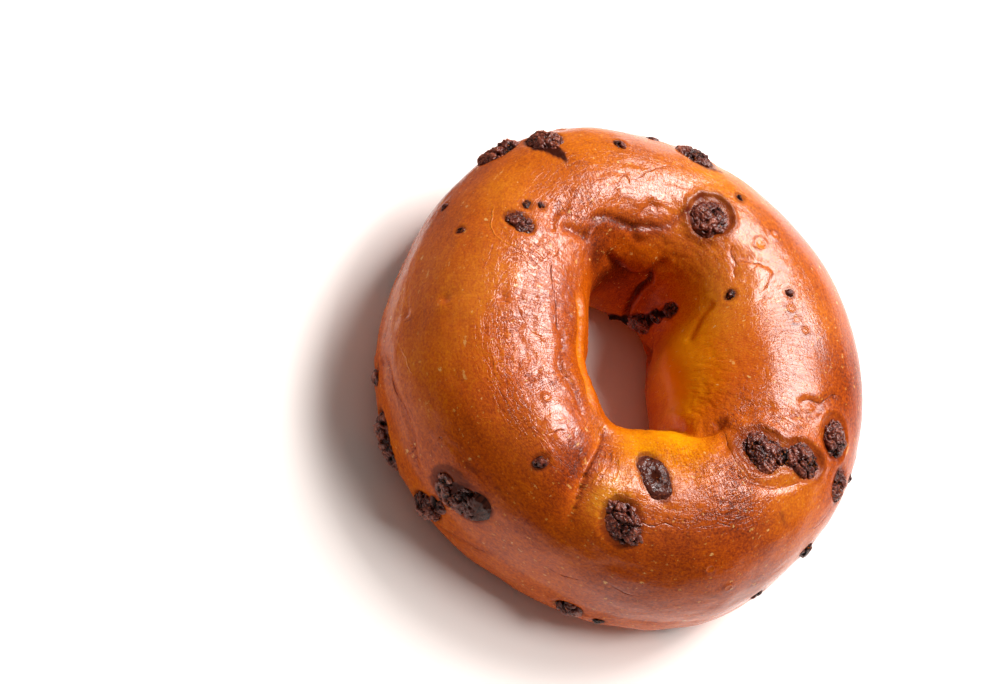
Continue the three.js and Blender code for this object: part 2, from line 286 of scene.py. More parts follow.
# Hair cracks of the skin, too fine for the mesh: their depth from 0 to 1, or below 0 for a pale raised
# hair, and their path.
cracks = [
    (1.0, [(181, 100), (187, 101), (191, 99), (198, 100), (204, 103), (210, 106), (216, 107), (224, 108),
           (227, 110)]),
    (0.9, [(266, 80), (267, 84), (268, 89), (271, 91), (273, 90), (274, 88), (277, 87)]),
    (0.8, [(252, 97), (253, 99), (254, 102)]),
    (0.6, [(219, 89), (223, 91), (227, 93), (230, 97), (231, 101)]),
    (0.8, [(96, 102), (94, 107), (90, 108), (88, 111), (84, 113)]),
    (0.8, [(90, 107), (86, 100), (82, 94), (78, 91), (76, 92), (74, 96), (72, 100)]),
    (0.7, [(141, 97), (142, 92), (144, 93), (146, 98), (149, 101)]),
    (0.7, [(152, 94), (150, 97), (149, 100), (146, 98), (146, 103), (148, 108)]),
    (0.6, [(127, 79), (132, 86), (135, 90), (139, 94)]),
    (0.6, [(153, 97), (156, 99), (160, 101), (163, 105)]),
    (0.6, [(172, 96), (168, 99), (166, 104), (162, 108)]),
    (0.5, [(138, 116), (135, 111), (133, 107), (129, 109)]),
    (0.8, [(209, 351), (221, 4), (228, 7), (233, 8), (238, 12), (241, 18), (245, 16), (248, 11), (250, 6),
           (256, 359)]),
    (0.5, [(239, 12), (242, 8), (245, 5), (248, 6)]),
    (0.9, [(264, 339), (268, 347), (272, 352), (275, 354), (277, 358)]),
    (0.8, [(289, 15), (292, 15), (295, 18), (297, 20)]),
    (0.6, [(302, 27), (307, 23), (310, 22), (313, 22)]),
    (0.7, [(8, 35), (2, 34), (357, 37)]),
    (0.6, [(12, 45), (9, 43), (4, 42), (0, 42)]),
    (0.6, [(304, 70), (309, 70), (312, 73), (317, 72)]),
    (0.6, [(328, 75), (330, 72), (332, 70)]),
    (0.6, [(337, 101), (340, 94), (344, 87), (349, 79), (355, 72), (2, 67)]),
    (0.5, [(350, 117), (346, 110), (344, 104), (343, 97)]),
    (0.5, [(21, 90), (25, 86), (26, 79), (30, 73), (33, 66)]),
    (-0.55, [(163, 70), (165, 70), (168, 68), (171, 69), (174, 70)]),
    (-0.6, [(184, 60), (187, 60), (190, 62), (193, 65), (195, 69), (196, 74), (196, 80), (196, 85)]),
    (-0.6, [(223, 16), (227, 21), (231, 25), (234, 27)]),
    (-0.6, [(252, 53), (252, 57), (253, 60)]),
    (-0.8, [(287, 104), (288, 95), (288, 86), (287, 78)]),
    (-0.7, [(290, 105), (291, 97), (291, 89)]),
    (-0.8, [(293, 102), (294, 94), (293, 86)]),
    (0.6, [(289, 106), (290, 97), (289, 88), (289, 80)]),
    (0.6, [(30, 6), (44, 9), (58, 5), (70, 8)]),
    (0.6, [(98, 24), (108, 20), (120, 23), (131, 19)]),
]
# Small burst bubbles: place and diameter in mm.
blisters = [
    ((88.5, 90), 2.5), ((87.5, 78), 1.8), ((62, 90), 2.0), ((57, 89), 1.5), ((52.5, 86), 1.4),
    ((256, 92), 1.6), ((326, 46), 1.8), ((332, 30), 1.6), ((150, 30), 2.0), ((24, 24), 1.8),
]
# Crumbs of chocolate in the crust: place and diameter in mm.
crumbs = [
    ((179.6, 76), 2.6), ((176.2, 83.5), 2.0), ((271, 69), 3.4), ((140.6, 67), 2.8), ((79, 119), 2.6),
    ((67.8, 88), 2.2), ((186.6, 21), 2.2), ((195.6, 46), 2.0), ((102.8, 75), 2.5), ((344, 5), 3.2),
    ((0.5, 84.5), 4.4), ((358, 17), 4.6), ((18.5, 25), 3.0), ((308, 349), 3.4), ((227, 349), 3.8),
    ((258.6, 15), 4.6), ((260.3, 9), 5.6), ((261.2, 359), 4.2), ((128, 40), 3.2), ((58, 20), 3.0),
    ((92, 350), 3.4), ((158, 340), 2.8), ((212, 225), 3.6), ((15, 330), 3.0), ((105, 184), 3.4),
    ((102, 177), 3.0), ((109.5, 195), 3.0), ((262, 7), 4.2),
]
# How the dough lies round a chip: mm from the chip to the rim round it, the rim's height and spread, the dip
# between them, how red-brown that is from 0 to 1, how many mm past the rim it is so, and how far the nest's
# middle lies from the chip's.
plainNest = {"gap": 0.4, "rim": 0.3, "spread": 2.1, "dip": 0.06, "red": 0.2, "past": 0.2, "shift": (0, 0, 0)}
nests = {
    "chip_round": {
        "gap": 1.3, "rim": 0.5, "spread": 1.0, "dip": 0.35, "red": 1.1, "past": 1.4, "shift": (0, 0.7, 0.45),
    },
    "chip_pair_large": {"gap": 1.2, "rim": 0.45, "spread": 1.0, "dip": 0.3, "red": 0.75, "past": 0.8},
    "chip_side_oval": {
        "gap": 0.8, "rim": 0.35, "spread": 1.2, "dip": 0.3, "red": 0.5, "shift": (-0.6, 0.2, 0.1),
    },
    "chip_lip_upper": {"gap": 0.8, "rim": 0.3, "spread": 2.6, "dip": 0.0, "red": 0.1},
    "chip_lip_lower": {"gap": 0.8, "rim": 0.3, "spread": 2.4, "dip": 0.0, "red": 0.1},
    "chip_front_melted": {"rim": 0.05, "dip": 0.0},
}
pairNames = ["chip_pair_large", "chip_pair_small"]


# The nearest sample of a path to each point in reach of it: which points, mm away, mm to the left of the
# path as seen from outside, and how far along the path it is, from 0 to 1.
def nearPath(points, out, path, reach):
    places = np.array(path, dtype=float)
    ringKnots = np.degrees(np.unwrap(np.radians(places[:, 0])))
    fine = np.linspace(0, len(path) - 1, 10 * (len(path) - 1) + 1)

    def curve(values):  # Catmull-Rom, so that no path has a corner
        padded = np.concatenate([[2 * values[0] - values[1]], values, [2 * values[-1] - values[-2]]])
        start = np.minimum(np.floor(fine).astype(int), len(path) - 2)
        t = fine - start
        a, b, c, d = (padded[start + k] for k in range(4))
        square, cube = 2 * a - 5 * b + 4 * c - d, 3 * b - a - 3 * c + d
        return 0.5 * (2 * b + (c - a) * t + square * t ** 2 + cube * t ** 3)

    line = smoothPoints(curve(ringKnots), curve(places[:, 1]))
    tangent = unit(np.gradient(line, axis=0))
    low, high = line.min(axis=0) - reach, line.max(axis=0) + reach
    near = np.nonzero(np.all((points > low) & (points < high), axis=1))[0]
    gaps = points[near][:, None, :] - line[None, :, :]
    far = np.linalg.norm(gaps, axis=2)
    nearest = far.argmin(axis=1)
    rows = np.arange(len(near))
    left = np.cross(out[near], tangent[nearest])
    side = (gaps[rows, nearest] * left).sum(axis=1)
    return near, far[rows, nearest], side, nearest / (len(line) - 1)


def endTaper(share):
    return rise(0, 0.14, share) * rise(0, 0.14, 1 - share)


def outerAngle(tubeAngle):
    # the tube angle from -135 to 225, so that the outer side is one stretch
    return np.where(tubeAngle > 225, tubeAngle - 360, tubeAngle)


def skinPlace(ringAngle, tubeAngle):
    # mm along the ring and round the tube, the same on the whole skin, for patterns that follow it
    turn = np.radians(ringAngle)
    across = bagel["crownRadius"]
    rounds = outerAngle(tubeAngle) * bagel["degreeLength"]
    return np.stack([across * np.cos(turn), across * np.sin(turn), rounds], axis=1)


# How much smoother the skin lies on the side that rose most, from 0 to 1.
def tautShare(ringAngle):
    return 0.78 * rise(52, 28, np.abs(turnFrom(58, ringAngle)))


# The far end of the crown, where the wrinkles are shallower, from 0 to 1.
def calmShare(points):
    return 0.42 * bell(distanceTo((116, 90), points) / 19)


def skinRelief(points, ringAngle, tubeAngle):
    # broad lumps, and skin that shrank as it cooled: wrinkles along the ring, strongest on the hole's lip
    loose = 1 - tautShare(ringAngle)
    relief = 0.42 * roughNoise(points, 17, 3, 2) + 0.16 * loose * roughNoise(points, 6, 11, 2)
    relief += spots(points, swells)
    bend = np.stack([softNoise(points, 4, 50 + axis) for axis in range(3)], axis=1)
    bent = skinPlace(ringAngle, tubeAngle) + 1.1 * bend
    wrinkles = 1 - 2 * np.abs(softNoise(bent / np.array([4.6, 4.6, 1.5]), 1, 21))
    finer = 1 - 2 * np.abs(softNoise(bent / np.array([2.2, 2.2, 0.9]), 1, 22))
    plates = pebbleNoise(bent / np.array([1.5, 1.5, 1.0]), 3.4, 31)
    lip = rise(66, 92, tubeAngle) * rise(172, 135, tubeAngle)
    outside = rise(48, 20, outerAngle(tubeAngle)) * rise(-50, -20, outerAngle(tubeAngle))
    patchy = 0.5 + 0.5 * np.clip(1.6 * softNoise(points, 9, 77), -1, 1)
    strength = (0.3 + 0.7 * np.maximum(lip, 0.3 * outside)) * loose * (1 - calmShare(points))
    relief += strength * (0.12 * wrinkles * (0.5 + 0.5 * patchy) + 0.07 * finer)
    return relief + 0.12 * lip * (1 - patchy) * (rise(0, 0.35, plates) - 1)


# How crinkled the skin is, from 0 to 1: most round the crown and the hole's lip, in patches.
def crinkleShare(points, ringAngle, tubeAngle):
    band = rise(58, 80, tubeAngle) * rise(134, 114, tubeAngle)
    patchy = 0.4 + 0.6 * rise(-0.35, 0.3, softNoise(points, 8, 120) + 0.4 * softNoise(points, 3, 121))
    smoother = 0.65 * bell(distanceTo((263, 93), points) / 6)
    smoother = np.maximum(smoother, calmShare(points))
    return 0.14 + 0.86 * band * patchy * (1 - tautShare(ringAngle)) * (1 - smoother)


# How much egg wash lies on the crust, where 1 is a plain coat: it is brushed on from above, so little gets
# into the hole.
def washShare(points, ringAngle, tubeAngle):
    crown = rise(30, 80, tubeAngle) * rise(140, 120, tubeAngle)
    side = rise(-60, 0, outerAngle(tubeAngle)) * rise(140, 120, tubeAngle)
    share = np.maximum(crown, 0.3 * side) - spots(points, unwashed)
    return 0.06 + 0.94 * np.clip(share, 0, 1.35)


def nestRelief(points, names, nest):
    # the rim and dip round one chip, or round two that share a nest, and how red-brown they are
    shift = np.array(nest["shift"], dtype=float)
    away = np.min([distanceToChip(points, chipForms[name]) for name in names], axis=0)
    fromNest = np.stack([distanceToChip(points - shift, chipForms[name]) for name in names])
    fromNest = -0.9 * np.log(np.exp(-fromNest / 0.9).sum(axis=0))
    fromNest += 0.35 * softNoise(points, 1.9, 91) + 0.15 * softNoise(points, 0.9, 92)
    gap = nest["gap"]
    uneven = 0.65 + 0.35 * softNoise(points, 3.4, 95)
    width = np.where(fromNest > gap, nest["spread"], 0.25 + 0.4 * gap)
    relief = nest["rim"] * uneven * bell((fromNest - gap) / width)
    relief -= nest["dip"] * rise(gap, 0.55 * gap, fromNest)
    relief -= 1.2 * rise(-0.2, -1.6, away)
    edge = away + 0.25 * softNoise(points, 1.1, 93)
    patch = 0.75 + 0.25 * softNoise(points, 2.2, 94)
    red = nest["red"] * patch * rise(gap + nest["past"], 0.6 * gap, fromNest)
    return relief, np.maximum(red, 0.7 * rise(0.4, 0.05, edge))


# How far the crust stands out from the smooth ring, with what folds and chips do to its colour, and the
# painted shade in the folds and beside the seam.
def crustRelief(points, out, ringAngle, tubeAngle):
    relief = skinRelief(points, ringAngle, tubeAngle)
    tone = np.zeros(len(points))
    fringe = np.zeros(len(points))
    for width, depth, step, shadeAndBake, path in folds:
        near, away, side, share = nearPath(points, out, path, 5 * width + 2)
        taper = endTaper(share)
        groove = bell(away / width)
        shelf = np.tanh(side / (0.5 * width)) * bell(away / (3.2 * width))
        relief[near] += taper * (0.5 * step * shelf - depth * groove)
        # painted shade in the groove
        tone[near] += taper * shadeAndBake * groove

    near, away, side, share = nearPath(points, out, seam["path"], 14)
    taper = rise(0, 0.15, share) * rise(1, 0.5, share)
    for part, over in (("left", side > 0), ("right", side <= 0)):
        # painted shade with some browning on the left of the lap, paler bake on the right
        fall = np.exp(-away / seam[part]["over"]) * taper * over
        relief[near] -= seam[part]["depth"] * fall
        tone[near] += seam[part]["shadeAndBake"] * fall

    for names in [pairNames] + [[name] for name in chipNames if name not in pairNames]:
        nest = {**plainNest, **nests.get(names[0], {})}
        centre = np.mean([chipForms[name]["centre"] for name in names], axis=0)
        near = np.nonzero(np.linalg.norm(points - centre, axis=1) < 16)[0]
        if len(near) > 0:
            raised, red = nestRelief(points[near], names, nest)
            relief[near] += raised
            fringe[near] = np.maximum(fringe[near], red)

    for place, across in blisters:
        away = distanceTo(place, points) - across / 2
        relief += 0.16 * bell(away / 0.4) - 0.1 * rise(0, -0.5, away)
        tone += 0.12 * bell((away - 0.4) / 0.3) - 0.1 * rise(0.1, -0.4, away)

    for place, across in crumbs:
        away = distanceTo(place, points) - across / 2
        away += 0.2 * softNoise(points, 1.0, 97)
        relief += 0.08 * bell((away - 0.7) / 0.6) - 0.12 * rise(0.7, 0, away)
        fringe = np.maximum(fringe, 0.55 * rise(0.5, 0.0, away))
    return relief + filmFields(points, out)[1], tone, fringe


def crustPoints(ringAngle, tubeAngle):
    points = smoothPoints(ringAngle, tubeAngle)
    out = directions(ringAngle, tubeAngle)[0]
    relief, tone, fringe = crustRelief(points, out, ringAngle, tubeAngle)
    relief *= rise(0, 1.5, points[:, 2])  # the base stays flat
    moved = points + out * relief[:, None]
    moved[:, 2] = np.maximum(moved[:, 2], 0)
    return moved, tone, fringe


# Each point's mm to the side of the nearest hair crack, and that crack's depth there.
def crackFields(points, out):
    side = np.full(len(points), 2.0)
    depth = np.zeros(len(points))
    nearest = np.full(len(points), 1.6)
    wiggle = 0.22 * softNoise(points, 1.3, 110) + 0.1 * softNoise(points, 0.6, 111)
    uneven = np.clip(0.5 + 0.9 * softNoise(points, 1.9, 112), 0, 1)
    for amount, path in cracks:
        near, away, left, share = nearPath(points, out, path, 2)
        taper = endTaper(share)
        closer = away < nearest[near]
        rows = near[closer]
        nearest[rows] = away[closer]
        side[rows] = left[closer]
        depth[rows] = amount * taper[closer] * rise(1.5, 0.9, away[closer])
    side, depth = side + wiggle, depth * uneven
    for place, across in blisters:
        away = distanceTo(place, points) - across / 2
        ring = np.abs(away) < 0.9
        side[ring] = away[ring]
        depth[ring] = -0.5 * uneven[ring] * rise(0.9, 0.6, np.abs(away[ring]))
    return side, depth


# Chocolate that melted over the crust: path, half width in mm at its start and end, how thick from 0 to 1,
# and how many mm it stands out.
films = [
    ([(118, 207), (111, 198), (106, 187), (101.5, 176), (96, 163)], 2.6, 0.8, 1.0, 0.9),
    ([(257.5, 8), (256.5, 15), (258, 22), (262, 25)], 1.9, 1.9, 0.4, 0),
    ([(262, 16), (266, 18.5), (268.5, 23)], 3.0, 2.6, 0.65, 0.1),
    ([(160, 50), (159.5, 58), (159, 66), (159, 73)], 2.9, 0.2, 0.75, 0.2),
    ([(118, 62), (114, 63), (110, 60)], 1.5, 0.3, 0.5, 0),
    ([(349, 62), (349, 57), (350, 53)], 0.8, 0.4, 0.3, 0),
    ([(327, 27), (329, 24), (331, 22)], 0.9, 0.5, 0.2, 0),
    ([(268, 39), (269, 39), (270, 38)], 0.5, 0.5, 0.3, 0),
    ([(259, 35), (260, 35), (262, 36)], 0.6, 0.6, 0.3, 0),
]


def filmFields(points, out):
    # how thick the film is, and how many mm it stands out
    film, raised = np.zeros(len(points)), np.zeros(len(points))
    ragged = 0.35 * softNoise(points, 2.4, 300) + 0.3 * softNoise(points, 1.0, 301)
    for path, start, end, amount, height in films:
        near, away, side, share = nearPath(points, out, path, start + 2)
        edge = away + ragged[near] - (start + (end - start) * share)
        film[near] = np.maximum(film[near], amount * rise(0.35, -0.6, edge))
        lumpy = 0.6 + 0.7 * softNoise(points[near], 1.5, 305) + 0.4 * softNoise(points[near], 0.8, 306)
        raised[near] = np.maximum(raised[near], height * lumpy * rise(0.2, -1.0, edge))
    return film, raised


# Places that the oven browned more or, below 0, less: place, spread in mm, amount. On the hole's upper wall,
# ring 152 to 164, and on the left of the seam, ring 274 to 283, the darkening is painted shade with some
# browning.
bakeAndShadeSpots = [
    ((225, 58), 16, -0.12), ((205, 40), 12, -0.06), ((178, 62), 9, -0.1), ((252, 34), 9, 0.1),
    ((238, 84), 6, -0.03), ((306, 24), 13, 0.15), ((336, 66), 11, 0.15), ((352, 76), 8, -0.1),
    ((357, 52), 8, -0.1), ((344, 20), 12, 0.14), ((318, 62), 7, 0.05), ((281, 38), 6, 0.16),
    ((40, 52), 13, 0.3), ((14, 48), 9, 0.16), ((60, 78), 9, 0.1), ((85, 50), 10, 0.1), ((104, 56), 8, -0.05),
    ((222, 120), 5, 0.12), ((205, 112), 5, 0.07), ((244, 112), 5, 0.07), ((261, 103), 5, 0.08),
    ((274, 90), 5, 0.1), ((70, 145), 10, -0.33), ((30, 150), 10, -0.22), ((2, 155), 9, -0.26),
    ((350, 172), 9, -0.2), ((60, 175), 9, -0.2), ((48, 134), 8, 0.1), ((20, 134), 8, 0.08),
    ((308, 130), 5, 0.18), ((295, 80), 4, -0.2), ((334, 70), 6, 0.08), ((349, 134), 6, 0.45),
    ((283, 64), 5, 0.12), ((279, 88), 3, 0.08), ((315, 126), 5, 0.06), ((288, 88), 3, -0.25),
    ((290, 72), 4, -0.3), ((280.5, 80), 3, 0.15), ((88, 127), 7, -0.12), ((262, 22), 7, 0.12),
    # (161, 116), (164, 131), (152, 124) and (158, 160): painted shade with some browning on the hole's upper
    # wall
    ((312, 20), 12, 0.04), ((280, 4), 8, 0.07), ((161, 116), 3, 0.22), ((164, 131), 4, 0.38),
    ((152, 124), 4, 0.25), ((158, 160), 7, 0.38), ((141, 124), 4, 0.08), ((121, 109), 4, -0.12),
    ((40, 4), 13, 0.12), ((64, 12), 13, 0.16), ((88, 12), 13, 0.16), ((112, 10), 13, 0.16),
    ((136, 8), 13, 0.16), ((160, 6), 13, 0.15), ((184, 4), 13, 0.13), ((78, 340), 12, 0.08),
    ((122, 338), 12, 0.08), ((166, 338), 12, 0.08), ((296, 118), 5, -0.25), ((310, 127), 6, -0.3),
    ((326, 130), 6, -0.3), ((342, 140), 6, -0.22), ((303, 104), 5, -0.1), ((136, 168), 7, 0.16),
    ((114, 178), 7, 0.2), ((279, 92), 4, 0.16), ((280, 74), 4, 0.1), ((132, 116), 5, 0.12),
    ((150, 96), 6, 0.04), ((112, 74), 6, -0.06),
]
# Places where the crust is more golden than red: place, spread in mm, amount.
golden = [
    ((110, 62), 17, 0.6), ((148, 66), 13, 0.52), ((178, 62), 9, 0.25), ((60, 84), 13, 0.5),
    ((25, 92), 10, 0.3), ((70, 145), 10, 0.05), ((28, 150), 10, 0.0), ((344, 80), 9, 0.25),
    ((357, 62), 8, 0.15), ((0, 152), 10, 0.2), ((345, 165), 10, 0.25), ((60, 175), 9, 0.15),
    ((48, 134), 9, -0.25), ((20, 134), 9, -0.15), ((50, 180), 8, 0.28), ((15, 176), 9, 0.25),
    ((296, 84), 5, 0.25), ((290, 74), 4, 0.3), ((296, 92), 4, 0.3), ((356, 169), 6, 0.3),
    ((296, 114), 7, 0.4), ((312, 126), 8, 0.4), ((330, 128), 8, 0.4), ((318, 98), 9, 0.3),
    ((212, 76), 9, 0.1), ((228, 62), 12, -0.05), ((244, 62), 10, -0.1), ((283, 66), 6, -0.12),
    ((252, 40), 10, -0.06), ((136, 168), 8, -0.1), ((330, 60), 9, -0.08),
]
# Places that the brush missed or, below 0, went over twice: place, spread in mm, amount.
unwashed = [
    ((316, 124), 8, 0.9), ((332, 116), 8, 0.6), ((300, 112), 5, 0.5), ((345, 130), 8, 0.6),
    ((328, 84), 7, 0.3), ((30, 119), 7, 0.4), ((151, 72), 8, 0.6), ((42, 50), 11, 0.35), ((16, 45), 9, 0.25),
    ((334, 66), 8, 0.2), ((280, 72), 5, 0.6), ((38, 70), 6, 0.42), ((29, 68), 6, 0.35), ((17, 75), 6, 0.3),
    ((58, 98), 6, 0.35), ((284, 86), 3, 0.4), ((289, 97), 4, 0.35), ((296, 92), 3, 0.3), ((69, 78), 6, 0.3),
    ((82, 87), 6, 0.3), ((35, 88), 5, 0.15), ((161, 118), 4, 0.8), ((150, 124), 4, 0.5),
    ((155, 104), 3, -0.2), ((121, 109), 4, -0.5), ((85, 116), 7, -0.4), ((335, 102), 4, -0.3),
    ((290, 80), 4, -0.65), ((236, 80), 7, 0.22), ((214, 55), 13, -0.25), ((318, 88), 5, 0.25),
    ((306, 20), 11, -0.35), ((342, 22), 12, -0.2), ((280, 4), 10, -0.35), ((194, 38), 12, -0.2),
    ((208, 42), 14, -0.3), ((104, 58), 6, 0.4), ((92, 78), 5, 0.3), ((229, 120), 4, 0.4),
    ((246, 115), 4, 0.5), ((262, 106), 4, 0.4), ((205, 116), 4, 0.3), ((262, 94), 5, -0.27),
    ((130, 107), 6, -0.15), ((223, 98), 6, -0.15),
]


def crustTone(points):
    return 0.53 + spots(points, bakeAndShadeSpots) + 0.06 * roughNoise(points, 11, 201, 2)


def crustGold(points):
    return 0.13 + spots(points, golden) + 0.08 * roughNoise(points, 8, 211, 2)


def addNode(tree, kind, settings=None, links=None):
    # one node with its settings and what feeds it
    node = tree.nodes.new("ShaderNode" + kind)
    for name, value in (settings or {}).items():
        if name == "stops":
            ramp = node.color_ramp
            while len(ramp.elements) < len(value):
                ramp.elements.new(0.5)
            for element, (position, colour) in zip(ramp.elements, value):
                element.position = position
                element.color = toLinear(colour)
        elif isinstance(name, int) or name in node.inputs:
            node.inputs[name].default_value = value
        else:
            setattr(node, name, value)
    for name, (source, output) in (links or {}).items():
        tree.links.new(source.outputs[output], node.inputs[name])
    return node


def newMaterial(name):
    material = bpy.data.materials.new(name)
    material.use_nodes = True
    tree = material.node_tree
    tree.nodes.clear()
    return material, tree


# Egg-washed bread crust: baked sugars and starch from golden to chestnut under a thin dried film of egg, so
# broad highlights that a skin of fine wrinkles breaks up.
crustLook = {
    # from the palest bake to the darkest
    "redTones": [
        (0.0, "#EC900A"), (0.25, "#DC7208"), (0.5, "#C75406"), (0.75, "#9E3A0B"), (1.0, "#5E1E0C"),
    ],
    "goldTones": [
        (0.0, "#F3A808"), (0.25, "#E48C08"), (0.5, "#D06F0E"), (0.75, "#AA4E10"), (1.0, "#6A2C10"),
    ],
    "fringe": "#6A2412",
    "films": [(0.0, "#84351C"), (0.5, "#4A1C10"), (1.0, "#260A05")],
    # uneven browning: mm across, how it is squeezed along the ring and across it, and how strong
    "mottles": [
        {"size": 9.0, "squeeze": (1, 1, 1), "amount": 0.26},
        {"size": 2.2, "squeeze": (0.5, 0.5, 1), "amount": 0.15},
        {"size": 0.9, "squeeze": (0.35, 0.35, 1), "amount": 0.28},
        {"size": 0.42, "squeeze": (1, 1, 1), "amount": 0.85},
    ],
    # wrinkles: mm across, how they are squeezed along the ring and across it, how far they bend, how many mm
    # deep their creases are and high the skin swells between them, and how much darker the creases are
    # painted, as shade
    "wrinkles": [
        {"size": 0.9, "squeeze": (0.3, 0.3, 1), "bend": 0.7, "crease": 0.05, "swell": 0.06, "creaseShade": 0.14},
        {"size": 0.8, "squeeze": (1, 1, 0.35), "bend": 0.4, "crease": 0.045, "swell": 0.06, "creaseShade": 0.12},
        {"size": 1.3, "squeeze": (1, 1, 1), "bend": 0.5, "crease": 0.02, "swell": 0.06, "creaseShade": 0.04},
    ],
    "crease": 0.14,  # how wide the creases are, as a share of the noise that makes them
    "pore": 0.36,  # mm
    "poreDepth": 0.032,
    "crackWidth": 0.16,
    "crackDepth": 0.2,
    # how much darker the cracks are painted, as shade
    "crackShade": 0.28,
    # flour and tiny blisters: mm between them, radius as a share of that, how many of them show, how strong,
    # and how they are squeezed along the ring and across it
    "specks": [
        {"between": 0.8, "radius": 0.34, "chance": 0.4, "amount": 0.5, "squeeze": (1, 1, 1),
         "colour": "#EAA850"},
        {"between": 2.0, "radius": 0.2, "chance": 0.5, "amount": 0.75, "squeeze": (1, 1, 1),
         "colour": "#F2BC70"},
        {"between": 1.8, "radius": 0.22, "chance": 0.45, "amount": 0.6, "squeeze": (0.45, 0.45, 1),
         "colour": "#F0B464"},
    ],
    "ragged": {"size": 0.5, "reach": 0.8},  # mm, how uneven the edges of the specks are
    # under a plain coat of wash: the specular level, how much of it is left without wash, the coat's weight,
    # and the roughness at its least and most
    "shine": 0.43,
    "bareShine": 0.04,
    "coat": 0.6,
    "roughness": (0.17, 0.25),
}


